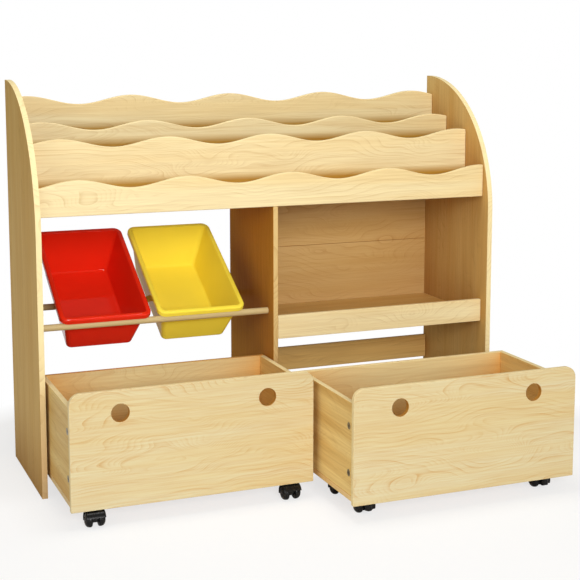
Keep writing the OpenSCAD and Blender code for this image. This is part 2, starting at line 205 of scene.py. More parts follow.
class Shader:
    """A new node material and short ways to add its nodes."""

    def __init__(self, name):
        self.mat = bpy.data.materials.new(name)
        self.mat.use_nodes = True
        self.tree = self.mat.node_tree
        self.bsdf = self.tree.nodes["Principled BSDF"]
        self.coords = self.tree.nodes.new("ShaderNodeTexCoord")

    def link(self, source, target):
        self.tree.links.new(source, target)

    def node(self, kind, **settings):
        made = self.tree.nodes.new("ShaderNode" + kind)
        for key, value in settings.items():
            setattr(made, key, value)
        return made

    def noise(self, scale, detail=2, rough=0.5, distort=0.0):
        """Noise in the piece's own coordinates, stretched by a scale for each axis."""
        place = self.node("Mapping")
        place.inputs["Scale"].default_value = scale
        self.link(self.coords.outputs["Object"], place.inputs["Vector"])
        made = self.node("TexNoise")
        made.inputs["Scale"].default_value = 1
        made.inputs["Detail"].default_value = detail
        made.inputs["Roughness"].default_value = rough
        made.inputs["Distortion"].default_value = distort
        self.link(place.outputs["Vector"], made.inputs["Vector"])
        return made.outputs["Fac"]

    def math(self, kind, a, b=None):
        """A sum, product or the like of numbers and other nodes' outputs."""
        made = self.node("Math", operation=kind)
        for socket, value in zip(made.inputs, (a, b)):
            if value is None:
                continue
            if isinstance(value, (int, float)):
                socket.default_value = value
            else:
                self.link(value, socket)
        return made.outputs[0]

    def total(self, first, *others):
        """Sum of outputs, each times its weight."""
        made = self.math("MULTIPLY", *first)
        for output, weight in others:
            made = self.math("ADD", made, self.math("MULTIPLY", output, weight))
        return made

    def span(self, value, low, high, to_low=0.0, to_high=1.0):
        """Turns the range from low to high into another range, and holds the ends."""
        made = self.node("MapRange")
        made.inputs["From Min"].default_value = low
        made.inputs["From Max"].default_value = high
        made.inputs["To Min"].default_value = to_low
        made.inputs["To Max"].default_value = to_high
        self.link(value, made.inputs["Value"])
        return made.outputs["Result"]

    def mix(self, factor, a, b, blend="MIX"):
        """Mix of two colours, each a colour or another node's output."""
        made = self.node("Mix", data_type="RGBA", blend_type=blend)
        sockets = [s for s in made.inputs if s.enabled]
        for socket, value in zip(sockets, (factor, a, b)):
            if isinstance(value, (int, float)):
                socket.default_value = value
            elif isinstance(value, tuple):
                socket.default_value = (*value, 1)
            else:
                self.link(value, socket)
        return next(s for s in made.outputs if s.enabled)

    def bump(self, height, strength, distance):
        """Fine relief on the whole surface."""
        made = self.node("Bump")
        made.inputs["Strength"].default_value = strength
        made.inputs["Distance"].default_value = distance
        self.link(height, made.inputs["Height"])
        self.link(made.outputs["Normal"], self.bsdf.inputs["Normal"])


def stretched(grain, thick, along, across):
    """Scale of a noise that runs along the grain of a board and is half as dense through it."""
    scale = [across] * 3
    scale[grain] = along
    scale[thick] = across / 2
    return scale


# Growth rings for each metre across a board, and fine lines for each of these rings
RINGS = 64
HAIRS = 3.7
# How far around a finger hole the painted shade of its walls reaches, and from how far off a corner takes
# painted shade
BORE_MARGIN = 0.003
CORNER_SHADE_REACH = 0.2


def wood(name, grain, thick, tone, warm, streak, edge=None, swirl=5, figure=1.0, shine=0.2,
         bores=(), shade=None, nook=None):
    """Satin wood whose growth rings run along one axis of a board.

    Its edges take other tones than its faces, and the walls of its bores a darker one, which is
    painted shade. The shade is painted shade as well: an upright stretch, from clear to deep, over
    which a front face darkens to a tone down the pockets. The last argument paints shade into
    corners: how much the wood darkens there, and the tone it takes.
    """
    made = Shader(name)
    place = made.node("SeparateXYZ")
    made.link(made.coords.outputs["Object"], place.inputs[0])
    normal = made.node("SeparateXYZ")
    made.link(made.coords.outputs["Normal"], normal.inputs[0])
    width = 3 - grain - thick

    def grain_noise(along, across, *rest):
        """Noise with so many waves in a metre along the grain and across it."""
        return made.noise(stretched(grain, thick, along, across), *rest)

    def lines(count, power):
        """Lines that darken slowly and end sharply, the thinner the higher the power."""
        return made.math("POWER", made.math("FRACT", count), power)

    # Rings that drift slowly along the board and bulge into flames here and there
    flame = made.math("POWER", grain_noise(2.6, 7), 3)
    drift = made.total((grain_noise(0.9, 4, 3, 0.5, 0.1), swirl), (flame, 5 * swirl))
    count = made.math("ADD", made.math("MULTIPLY", place.outputs[width], RINGS), drift)
    rings = made.math("MULTIPLY", lines(count, 7), made.span(grain_noise(4, 40), 0.4, 0.62))
    hairs = lines(made.math("MULTIPLY", count, HAIRS), 3)
    hairs = made.math("MULTIPLY", hairs, made.span(grain_noise(7, 70), 0.4, 0.62))
    # Short streaks and the finest fibres
    streaks = made.span(grain_noise(6, 250, 3, 0.6), 0.36, 0.66)
    fibre = made.span(grain_noise(22, 900, 2, 0.6), 0.3, 0.75)
    dark = made.total((rings, 0.4 * figure), (hairs, 0.22 * figure), (streaks, 0.24), (fibre, 0.08))
    # Faces with warmer patches under the grain
    patch = made.span(grain_noise(1.1, 19, 3, 0.55, 0.2), 0.38, 0.62)
    colour = made.mix(dark, made.mix(made.math("MULTIPLY", patch, 0.8), tone, warm), streak)
    if edge:
        rim = made.span(made.math("ABSOLUTE", normal.outputs[thick]), 0.85, 0.35)
        side = made.mix(made.math("MULTIPLY", hairs, 0.4), edge, streak)
        # Painted shade on the walls of the finger holes
        if bores:
            side = bore_walls(made, thick, bores, side, streak)
        colour = made.mix(rim, colour, side)
    # Painted shade down the pockets, on front faces only
    if shade:
        clear, deep, pocket_tone = shade
        ahead = made.span(normal.outputs[Y], -0.2, -0.6)
        down = made.math("MULTIPLY", made.span(place.outputs[Z], clear, deep), ahead)
        colour = made.mix(down, colour, pocket_tone, "MULTIPLY")
    # Painted shade in corners and crevices, where ambient occlusion finds the wood closed in
    if nook:
        share, corner_shade_tone = nook
        cover = made.node("AmbientOcclusion", samples=8)
        cover.inputs["Distance"].default_value = CORNER_SHADE_REACH
        corner = made.span(cover.outputs["AO"], 0.95, 0.3, 0, share)
        colour = made.mix(corner, colour, corner_shade_tone, "MULTIPLY")
    made.link(colour, made.bsdf.inputs["Base Color"])
    made.link(made.span(fibre, 0, 1, 0.42, 0.55), made.bsdf.inputs["Roughness"])
    made.bsdf.inputs["Specular IOR Level"].default_value = shine
    made.bump(fibre, 0.1, 0.0001)
    return made.mat


def bore_walls(made, thick, bores, side, bore_shade_tone):
    """Paints shade in a darker tone on the edges in and just around each finger hole."""
    flat = made.node("VectorMath", operation="MULTIPLY")
    flat.inputs[1].default_value = [0 if axis == thick else 1 for axis in (X, Y, Z)]
    made.link(made.coords.outputs["Object"], flat.inputs[0])
    for middle, radius in bores:
        gap = made.node("VectorMath", operation="DISTANCE")
        gap.inputs[1].default_value = middle
        made.link(flat.outputs["Vector"], gap.inputs[0])
        inside = made.math("LESS_THAN", gap.outputs["Value"], radius + BORE_MARGIN)
        side = made.mix(inside, side, bore_shade_tone)
    return side


def times(colour, share):
    """A colour made darker."""
    return tuple(share * c for c in colour)


def plastic(name, colour, rough, peel, shine, coat=0.0, glow=0.0):
    """Moulded plastic with a faint unevenness.

    A coat is a thin gloss, and glow is how much light seeps through the walls.
    """
    made = Shader(name)
    # Large clouds of a slightly deeper tone
    cloud = made.span(made.noise((9, 9, 9)), 0.3, 0.7, 0, 0.6)
    made.link(made.mix(cloud, colour, times(colour, 0.9)), made.bsdf.inputs["Base Color"])
    # A gloss that changes from spot to spot
    fine = made.noise((420, 420, 420))
    made.link(made.span(fine, 0.3, 0.7, rough, rough + 0.08), made.bsdf.inputs["Roughness"])
    made.bsdf.inputs["IOR"].default_value = 1.5
    made.bsdf.inputs["Specular IOR Level"].default_value = shine
    if coat:
        made.bsdf.inputs["Coat Weight"].default_value = coat
        made.bsdf.inputs["Coat Roughness"].default_value = 0.05
    if glow:
        made.bsdf.inputs["Subsurface Weight"].default_value = glow
        made.bsdf.inputs["Subsurface Radius"].default_value = (1, 0.8, 0.4)
        made.bsdf.inputs["Subsurface Scale"].default_value = 0.012
    made.bump(made.noise((60, 60, 60)), peel, 0.0004)
    return made.mat


def metal(name, colour, rough):
    """Plated steel with darker clouds that are also rougher."""
    made = Shader(name)
    made.bsdf.inputs["Metallic"].default_value = 1
    cloud = made.noise((90, 90, 90), 3, 0.6)
    made.link(made.mix(cloud, colour, times(colour, 0.7)), made.bsdf.inputs["Base Color"])
    made.link(made.span(cloud, 0.3, 0.7, rough, rough + 0.15), made.bsdf.inputs["Roughness"])
    return made.mat


# Painted shade: how much of their tone the second, third and back wavy board keep, each darker the
# further behind it stands
DEPTH_SHADE_SHARES = (0.97, 0.9, 0.87)
# The painted shade down the pockets starts above the trough of the board in front, and is full below it
SHADE_START = 0.016
SHADE_FULL = -0.002
FINISHES = {}


def finishes():
    """All the finishes, made once from the sidebar's colours."""
    if FINISHES:
        return FINISHES
    chosen = bpy.context.scene.bookcase_look
    look = {name: tuple(getattr(chosen, name)) for name in BookcaseLook.__annotations__}

    def tones(*names):
        return [look[name + "_tone"] for name in names]

    rack = tones("rack", "rack_warm", "grain", "edge")
    front = tones("front", "front_warm", "bore", "edge")
    deep = tones("panel", "panel_warm", "panel_grain", "edge")
    # The divider's darker, warmer tones are painted shade of the bay it stands in
    inner = tones("divider", "divider", "divider_grain", "divider_edge")
    # Back boards: tones partly their own and partly painted shade of the cubby, with dark edges as
    # painted shade in their seam
    behind = tones("back", "back_warm", "panel_grain", "divider_grain")
    box_back = tones("box_back", "front_warm", "grain", "edge")
    box_side = tones("side", "panel_warm", "panel_grain", "edge")
    # Besides the rod's colour: the painted shade tones for corners, for the pockets and for the boxes'
    # corners
    rod, umber, pocket, amber = tones("rod", "nook", "pocket", "box_nook")
    red, yellow, black, steel = tones("red", "yellow", "black", "steel")
    for side in SIDES:
        node = f"{side}_box_front"
        middles, radius = hole_middles(node)
        bores = [((x, 0, z), radius) for x, z in middles]
        FINISHES[node] = wood(node, X, Y, *front, figure=1.3, bores=bores)
    for ahead, node, depth in zip(WAVE_BOARDS, WAVE_BOARDS[1:], DEPTH_SHADE_SHARES):
        # Painted shade down the pockets, below the trough of the board in front
        trough = min(z for x, z in top_edge(ahead))
        shade = (trough + SHADE_START, trough + SHADE_FULL, pocket)
        # Darker copies of the rack's tones, painted shade for the boards further back
        darker = [times(tone, depth) for tone in rack[:3]]
        FINISHES[node] = wood(node, X, Y, *darker, rack[3], figure=1.2, shade=shade)
    upright = {"swirl": 4, "figure": 0.7, "shine": 0.01}
    # Each wood's last setting below paints shade into its corners, in the tone given
    FINISHES.update(
        front_wave_board=wood("rack_board", X, Y, *rack),
        box_back=wood("box_back_board", X, Y, *box_back, nook=(0.9, amber)),
        box_bottom=wood("box_bottom_board", X, Z, *deep, nook=(0.5, amber)),
        box_side=wood("box_side_board", Y, X, *box_side, figure=0.7, shine=0.06, nook=(0.1, amber)),
        level=wood("level_board", X, Z, *deep, nook=(0.1, umber)),
        panel=wood("upright_panel", Z, X, *deep, **upright, nook=(0.6, umber)),
        divider=wood("divider_panel", Z, X, *inner, **upright, nook=(0.7, umber)),
        back=wood("back_board", X, Y, *behind, figure=1.3, nook=(0.3, umber)),
        rail=wood("rail_board", X, Y, *deep[:3], nook=(0.3, umber)),
        rod=wood("rod_wood", X, Y, rod, rod, times(rod, 0.8), swirl=2, figure=0.5),
        red=plastic("red_plastic", red, rough=0.2, peel=0.05, shine=0.0, coat=0.7, glow=0.15),
        yellow=plastic("yellow_plastic", yellow, rough=0.2, peel=0.05, shine=0.0, coat=0.25),
        black=plastic("black_plastic", black, rough=0.25, peel=0.1, shine=0.3),
        steel=metal("zinc_steel", steel, rough=0.35),
    )
    return FINISHES


def srgb(*levels):
    """Linear colour from 0 to 255 levels."""
    return tuple((v / 255 / 12.92) if v <= 10 else ((v / 255 + 0.055) / 1.055) ** 2.4 for v in levels)


def colour_property(name, description, levels):
    return bpy.props.FloatVectorProperty(name=name, description=description, subtype="COLOR", size=3,
                                         min=0, max=1, default=srgb(*levels))


def length_property(name, description, default, low, high):
    return bpy.props.FloatProperty(name=name, description=description, default=default,
                                   min=low, max=high, unit="LENGTH")


def power_property(name, description, watts):
    return bpy.props.FloatProperty(name=name, description=description, default=watts,
                                   min=0, unit="POWER")


class BookcaseLook(bpy.types.PropertyGroup):
    rack_tone: colour_property("Rack", "Colour of the wavy boards and the fascia", (239, 223, 176))
    rack_warm_tone: colour_property(
        "Rack, warm", "Colour of the warmer patches in those boards", (236, 211, 154))
    front_tone: colour_property("Box front", "Colour of the boxes' fronts", (213, 203, 165))
    front_warm_tone: colour_property(
        "Box front, warm", "Colour of the warmer patches in the fronts and backs", (212, 194, 144))
    grain_tone: colour_property(
        "Grain", "Colour of the streaks in the rack and the boxes' backs", (196, 160, 104))
    panel_tone: colour_property(
        "Panel", "Colour of the side panels, the level boards and the rail", (232, 198, 127))
    panel_warm_tone: colour_property(
        "Panel, warm", "Colour of the warmer patches there and in the boxes' sides", (223, 181, 105))
    panel_grain_tone: colour_property(
        "Panel grain", "Colour of the streaks there and behind the cubby", (184, 140, 78))
    # The back boards' darker tones are partly their own and partly painted shade of the cubby
    back_tone: colour_property("Back board", "Colour of the boards behind the cubby", (214, 180, 120))
    back_warm_tone: colour_property(
        "Back board, warm", "Colour of the warmer patches in those boards", (202, 164, 98))
    # The finger holes' walls take this tone as painted shade; the fronts' streaks take it as grain
    bore_tone: colour_property(
        "Finger hole", "Colour of the finger holes' walls and of the fronts' streaks", (190, 134, 56))
    box_back_tone: colour_property("Box back", "Colour of the boxes' backs", (232, 213, 158))
    side_tone: colour_property("Box side", "Colour of the boxes' sides", (248, 222, 152))
    # Painted shade for the wood's corners
    nook_tone: colour_property("Nooks", "Shade of the wood in corners", (162, 104, 44))
    # Painted shade that the wavy boards take down in the pockets
    pocket_tone: colour_property(
        "Pockets", "Shade of the wavy boards down in the book pockets", (190, 158, 85))
    # Painted warm shade for the corners inside the boxes
    box_nook_tone: colour_property(
        "Box nooks", "Shade of the wood in the corners of the boxes", (248, 180, 40))
    # The divider's darker, warmer tone is painted shade of the bay it stands in
    divider_tone: colour_property("Divider", "Colour of the divider's faces", (204, 146, 56))
    # As the back boards' edge tone it is painted shade in the seam between them
    divider_grain_tone: colour_property(
        "Divider grain", "Colour of the divider's streaks and the back boards' edges", (160, 100, 32))
    divider_edge_tone: colour_property(
        "Divider edge", "Colour of the divider's front edge", (216, 186, 126))
    edge_tone: colour_property("Edge", "Colour of the boards' rounded edges", (240, 222, 170))
    rod_tone: colour_property("Rod", "Colour of the two rods and the dowels", (203, 181, 130))
    red_tone: colour_property("Red", "Colour of the left bin", (234, 42, 20))
    yellow_tone: colour_property("Yellow", "Colour of the right bin", (255, 233, 76))
    black_tone: colour_property("Black", "Colour of the casters", (13, 13, 14))
    steel_tone: colour_property(
        "Steel", "Colour of the cam locks, screws and caster plates", (150, 146, 138))


class BookcaseSizes(bpy.types.PropertyGroup):
    edge_round: length_property("Edge round", "Radius of the boards' edges", 0.0015, 0.0003, 0.004)
    wave_round: length_property("Wave round", "Radius of the wavy edges", 0.0025, 0.0003, 0.005)
    wave_cuts: bpy.props.IntProperty(name="Wave cuts", description="Cuts along a wavy edge",
                                     default=119, min=30, max=300)
    rim_width: length_property("Rim width", "Width of a bin's rim outside its walls", 0.008, 0.006, 0.02)
    rim_height: length_property("Rim height", "Height of the turned-down edge", 0.012, 0.006, 0.02)
    rim_corner: length_property("Rim corner", "Corner radius of the rim", 0.02, 0.015, 0.03)
    rim_round: length_property("Rim round", "Radius of the rim's outer edge", 0.004, 0.001, 0.006)
    bin_taper: length_property(
        "Bin taper", "How far the walls draw in down to the floor", 0.02, 0.005, 0.03)
    wall: length_property("Bin wall", "Thickness of a bin's wall", 0.0025, 0.001, 0.004)


class BookcaseStage(bpy.types.PropertyGroup):
    floor_tone: colour_property("Floor", "Colour of the floor", (233, 233, 232))
    key_watts: power_property("Key light", "Power of the large light in front", 178)
    fill_watts: power_property("Fill light", "Power of the light on the left", 16)
    top_watts: power_property("Top light", "Power of the light above", 15)
    sky: bpy.props.FloatProperty(name="Room light", description="Strength of the room's even light",
                                 default=0.26, min=0)
    sky_tone: colour_property(
        "Room tone", "Colour of that even light, warmed by the wood around", (255, 246, 228))
    lens: bpy.props.FloatProperty(name="Lens", description="Focal length of the camera", default=80.5,
                                  min=20, max=200, subtype="DISTANCE_CAMERA")


# Boards


# Radii of the back boards' edges and of the rods' ends
BACK_ROUND = 0.0014
ROD_END_ROUND = 0.001


def board(node, material, width=None):
    """A plain board between a CAD node's corners, with all its edges rounded."""
    obj = cube(node + "_board", *box_of(node))
    round_edges(obj, width or bpy.context.scene.bookcase_sizes.edge_round)
    finish_piece(obj, node, material)


def side_panel(node, material):
    """A side panel whose upper front edge is rounded off over nearly its whole depth."""
    low, high = box_of(node)
    obj = cube(node + "_board", low, high)
    bpy.ops.object.mode_set(mode="EDIT")
    pick(obj, "EDGE", lambda m, d: abs(d.x) > ALONG and m.z > high.z - NEAR and m.y < low.y + NEAR)
    bpy.ops.mesh.bevel(offset=(high.y - low.y) * 0.9999, segments=48, affect="EDGES")
    bpy.ops.object.mode_set(mode="OBJECT")
    round_edges(obj, bpy.context.scene.bookcase_sizes.edge_round)
    finish_piece(obj, node, material)


def top_edge(node):
    """Points of the upper edge of a wavy CAD board's front face, from left to right."""
    low, high = box_of(node)
    middle = (low.z + high.z) / 2
    return sorted({(round(p.x, 5), round(p.z, 5)) for p in points_of(node)
                   if p.y < low.y + NEAR and p.z > middle})


def height_at(points, x):
    """Height of a chain of points at a place along it."""
    for (x0, z0), (x1, z1) in zip(points, points[1:]):
        if x <= x1:
            share = (x - x0) / (x1 - x0)
            return z0 + (z1 - z0) * min(max(share, 0), 1)
    return points[-1][1]


def wavy_board(node, material):
    """A board whose upper edge is cut into waves and softly rounded."""
    low, high = box_of(node)
    sizes = bpy.context.scene.bookcase_sizes
    points = top_edge(node)
    obj = cube(node + "_board", low, high)
    bpy.ops.object.mode_set(mode="EDIT")
    pick(obj, "EDGE", lambda m, d: abs(d.x) > ALONG)
    bpy.ops.mesh.subdivide(number_cuts=sizes.wave_cuts)
    mesh = bmesh.from_edit_mesh(obj.data)
    for v in mesh.verts:
        if v.co.z > high.z - NEAR:
            v.co.z = height_at(points, v.co.x)
    bmesh.update_edit_mesh(obj.data)
    bpy.ops.object.mode_set(mode="OBJECT")
    round_edges(obj, sizes.wave_round, 4)
    finish_piece(obj, node, material)


class BOOKCASE_OT_panels(bpy.types.Operator):
    """Models the side panels and the divider"""
    bl_idname = "bookcase.panels"
    bl_label = "Panels"

    def execute(self, context):
        side_panel("left_side_panel", finishes()["panel"])
        side_panel("right_side_panel", finishes()["panel"])
        board("centre_divider", finishes()["divider"])
        return {"FINISHED"}


class BOOKCASE_OT_rack(bpy.types.Operator):
    """Models the four wavy boards and the floor of the book rack"""
    bl_idname = "bookcase.rack"
    bl_label = "Book rack"

    def execute(self, context):
        for node in WAVE_BOARDS:
            wavy_board(node, finishes()[node])
        board("rack_floor", finishes()["level"])
        return {"FINISHED"}


class BOOKCASE_OT_cubby(bpy.types.Operator):
    """Models the shelf, the fascia, the rail and the two back boards"""
    bl_idname = "bookcase.cubby"
    bl_label = "Cubby"

    def execute(self, context):
        board("cubby_shelf", finishes()["level"])
        board("shelf_fascia", finishes()["front_wave_board"])
        board("rear_rail", finishes()["rail"])
        for node in ("upper_back_board", "lower_back_board"):
            board(node, finishes()["back"], BACK_ROUND)
        return {"FINISHED"}


class BOOKCASE_OT_rods(bpy.types.Operator):
    """Models the two round rods that the bins hang on, and finishes the dowels"""
    bl_idname = "bookcase.rods"
    bl_label = "Rods"

    def execute(self, context):
        for node in ("front_rod", "rear_rod"):
            low, high = box_of(node)
            radius = (high.y - low.y) / 2
            obj = cylinder(node + "_bar", (low + high) / 2, X, radius, high.x - low.x, 64)
            round_edges(obj, ROD_END_ROUND)
            finish_piece(obj, node, finishes()["rod"])
        for node in ("rack_dowels", "cubby_dowels"):
            dress(node, finishes()["rod"])
        return {"FINISHED"}


# Bins


BIN_TILT = math.radians(30)
# The back wall of a bin draws in by this much more than the others
BACK_LEAN = 0.002
# How far the middle of an edge may lie off the rounded outline that it belongs to
OUTLINE_GAP = 0.0008
# Radii of a bin's mouth, of the inner and outer foot of its walls, and of its rim's lower edge
MOUTH_ROUND = 0.0025
INNER_FOOT_ROUND = 0.0045
OUTER_FOOT_ROUND = 0.0055
SKIRT_ROUND = 0.0009


def bin_frame(node):
    """Width, length and depth of a bin, and the matrix that puts it at its tilt."""
    low, high = box_of(node)
    across = Vector((0, math.cos(BIN_TILT), math.sin(BIN_TILT)))
    up = Vector((0, -math.sin(BIN_TILT), math.cos(BIN_TILT)))
    lengths = [p.dot(across) for p in points_of(node)]
    heights = [p.dot(up) for p in points_of(node)]
    start = across * min(lengths) + up * max(heights) + Vector((low.x, 0, 0))
    place = Matrix.Translation(start) @ Matrix.Rotation(BIN_TILT, 4, "X")
    return high.x - low.x, max(lengths) - min(lengths), max(heights) - min(heights), place


def draw_in(obj, front, sides, back):
    """In edit mode, moves each side of the selected outline inwards and keeps its corners' radius."""
    mesh = bmesh.from_edit_mesh(obj.data)
    chosen = [v for v in mesh.verts if v.select]
    middle = [halfway([v.co[i] for v in chosen]) for i in (X, Y)]
    for v in chosen:
        v.co.x += sides if v.co.x < middle[X] else -sides
        v.co.y += front if v.co.y < middle[Y] else -back
    bmesh.update_edit_mesh(obj.data)


def outline_gap(point, width, length, inset, radius):
    """Distance of a point from the outline of a rounded rectangle."""
    x = abs(point.x - width / 2) - (width / 2 - inset - radius)
    y = abs(point.y - length / 2) - (length / 2 - inset - radius)
    return abs(math.hypot(max(x, 0), max(y, 0)) + min(max(x, y), 0) - radius)


def bin_piece(node, material):
    """A moulded bin: rim with a turned-down edge, tapered walls and a rounded foot."""
    sizes = bpy.context.scene.bookcase_sizes
    rim, wall, skirt = sizes.rim_width, sizes.wall, sizes.rim_height
    corner, taper = sizes.rim_corner, sizes.bin_taper
    width, length, depth, place = bin_frame(node)
    obj = cube(node + "_tub", Vector((0, 0, -skirt)), Vector((width, length, 0)))
    bpy.ops.object.mode_set(mode="EDIT")
    pick(obj, "EDGE", lambda m, d: abs(d.z) > ALONG)
    bpy.ops.mesh.bevel(offset=corner, segments=12, affect="EDGES")
    # The hollow, from above
    pick(obj, "FACE", lambda m, n: n.z > ALONG)
    bpy.ops.mesh.inset(thickness=rim + wall, depth=0)
    bpy.ops.mesh.extrude_region_move(TRANSFORM_OT_translate={"value": (0, 0, wall - depth)})
    share = (depth - wall) / depth
    draw_in(obj, taper * share, taper * share, (taper + BACK_LEAN) * share)
    # The turned-down edge and the outside of the walls, from below
    pick(obj, "FACE", lambda m, n: n.z < -ALONG and m.z > -skirt - NEAR)
    bpy.ops.mesh.inset(thickness=wall, depth=0)
    bpy.ops.mesh.extrude_region_move(TRANSFORM_OT_translate={"value": (0, 0, skirt - wall)})
    bpy.ops.mesh.inset(thickness=rim - wall, depth=0)
    bpy.ops.mesh.extrude_region_move(TRANSFORM_OT_translate={"value": (0, 0, wall - depth)})
    draw_in(obj, taper, taper, taper + BACK_LEAN)

    def round_level(height, radius, steps, inset=None):
        """Rounds the level edges at a height, all of them or those on one rounded outline."""

        def test(m, d):
            if abs(m.z - height) > NEAR or abs(d.z) > 0.1:
                return False
            return inset is None or outline_gap(m, width, length, inset, corner - inset) < OUTLINE_GAP

        pick(obj, "EDGE", test)
        bpy.ops.mesh.bevel(offset=radius, segments=steps, affect="EDGES")

    round_level(0, sizes.rim_round, 6, inset=0)
    round_level(0, MOUTH_ROUND, 4, inset=rim + wall)
    round_level(wall - depth, INNER_FOOT_ROUND, 5)
    round_level(-depth, OUTER_FOOT_ROUND, 5)
    round_level(-skirt, SKIRT_ROUND, 2, inset=0)
    bpy.ops.object.mode_set(mode="OBJECT")
    obj.data.transform(place)
    finish_piece(obj, node, material, 30)


class BOOKCASE_OT_bins(bpy.types.Operator):
    """Models the red and the yellow bin"""
    bl_idname = "bookcase.bins"
    bl_label = "Bins"

    def execute(self, context):
        bin_piece("red_bin", finishes()["red"])
        bin_piece("yellow_bin", finishes()["yellow"])
        return {"FINISHED"}


# Rolling boxes


FRONT_CORNER = 0.024
# Where the finger holes lie, from the front's top down and from its ends inwards
HOLE_DROP = (0.02, 0.075)
HOLE_INSET = (0.05, 0.2)
# Length of the drill for the finger holes, and depth and play of the cam locks' recesses
DRILL_LENGTH = 0.05
LOCK_DEPTH = 0.0105
LOCK_PLAY = 0.0002


def hole_middles(node):
    """Middles and radius of a box front's finger holes, from the round walls of the CAD board."""
    low, high = box_of(node)
    walls = [p for p in points_of(node) if HOLE_DROP[0] < high.z - p.z < HOLE_DROP[1]]
    middles = []
    for end in (low.x, high.x):
        hole = [p for p in walls if HOLE_INSET[0] < abs(p.x - end) < HOLE_INSET[1]]
        middles.append((halfway([p.x for p in hole]), halfway([p.z for p in hole])))
        radius = half_span([p.x for p in hole])
    return middles, radius


def box_front(node, material):
    """A box front with round upper corners and two finger holes."""
    low, high = box_of(node)
    obj = cube(node + "_board", low, high)
    bpy.ops.object.mode_set(mode="EDIT")
    pick(obj, "EDGE", lambda m, d: abs(d.y) > ALONG and m.z > high.z - NEAR)
    bpy.ops.mesh.bevel(offset=FRONT_CORNER, segments=12, affect="EDGES")
    bpy.ops.object.mode_set(mode="OBJECT")
    middles, radius = hole_middles(node)
    for x, z in middles:
        drill(obj, Vector((x, (low.y + high.y) / 2, z)), Y, radius, DRILL_LENGTH, 64)
    round_edges(obj, bpy.context.scene.bookcase_sizes.edge_round)
    finish_piece(obj, node, material)


def box_side(node, locks, material):
    """A side of a box with a round recess for each of its four cam locks."""
    low, high = box_of(node)
    obj = cube(node + "_board", low, high)
    round_edges(obj, bpy.context.scene.bookcase_sizes.edge_round)
    points = [p for p in points_of(locks) if low.x - 0.001 < p.x < high.x + 0.001]
    middle = [halfway([p[i] for p in points]) for i in (X, Y, Z)]
    outer = low.x if middle[X] < (low.x + high.x) / 2 else high.x
    for behind in (False, True):
        for above in (False, True):
            disc = [p for p in points if (p.y > middle[Y]) == behind and (p.z > middle[Z]) == above]
            y, z = (halfway([p[i] for p in disc]) for i in (Y, Z))
            radius = half_span([p.z for p in disc])
            drill(obj, Vector((outer, y, z)), X, radius + LOCK_PLAY, 2 * LOCK_DEPTH)
    finish_piece(obj, node, material)


class BOOKCASE_OT_boxes(bpy.types.Operator):
    """Models the boards of both rolling boxes"""
    bl_idname = "bookcase.boxes"
    bl_label = "Rolling boxes"

    def execute(self, context):
        for side in SIDES:
            box_front(f"{side}_box_front", finishes()[f"{side}_box_front"])
            for name in ("left_side", "right_side"):
                box_side(f"{side}_box_{name}", f"{side}_box_cam_locks", finishes()["box_side"])
            board(f"{side}_box_back", finishes()["box_back"])
            board(f"{side}_box_bottom", finishes()["box_bottom"])
        return {"FINISHED"}


class BOOKCASE_OT_fittings(bpy.types.Operator):
    """Finishes the cam locks, bolts, screws and caster plates"""
    bl_idname = "bookcase.fittings"
    bl_label = "Fittings"

    def execute(self, context):
        for side in SIDES:
            for name in ("cam_locks", "cam_bolts", "caster_plates", "screws"):
                dress(f"{side}_box_{name}", finishes()["steel"])
        return {"FINISHED"}


class BOOKCASE_OT_casters(bpy.types.Operator):
    """Finishes the eight twin-wheel casters"""
    bl_idname = "bookcase.casters"
    bl_label = "Casters"

    def execute(self, context):
        for side in SIDES:
            for number in range(1, 5):
                for part in ("hood", "wheels"):
                    dress(f"{side}_box_caster_{number}_{part}", finishes()["black"])
        return {"FINISHED"}


# Stage


SENSOR_WIDTH = 36
# The camera stands in front, to the left, and looks down a little
CAMERA_PLACE = (-1.06441, -2.84845, 0.96791)
CAMERA_TURN = (math.pi / 2 - 0.13416, 0, -0.38469)
CAMERA_SHIFT = (0.00017, -0.12)
# Each light's place, the point that it faces, and its width and height
KEY = (-0.7, -4.9, 1.9), (0, -0.1, 0.4), (1.9, 1.6)
FILL = (-3.2, -2.2, 1.4), (0, -0.1, 0.4), (1.8, 1.8)
TOP = (-0.1, -0.35, 2.3), (-0.1, -0.2, 0), (0.9, 0.7)
FLOOR_SIZE = 14
# The floor turns white between these distances from its middle
FLOOR_MIDDLE = (0, -0.25, 0)
FLOOR_FADE = (0.55, 1.0)
# Share of plain white in the floor that the camera sees, so that its shadows are pale
FLOOR_WHITE = 0.7


def area_light(name, place, target, size, watts):
    """A soft rectangular light that the camera doesn't see."""
    data = bpy.data.lights.new(name, "AREA")
    data.shape = "RECTANGLE"
    data.size, data.size_y = size
    data.energy = watts
    lamp = bpy.data.objects.new(name, data)
    bpy.context.scene.collection.objects.link(lamp)
    lamp.visible_camera = False
    lamp.location = place
    lamp.rotation_euler = (Vector(target) - Vector(place)).to_track_quat("-Z", "Y").to_euler()


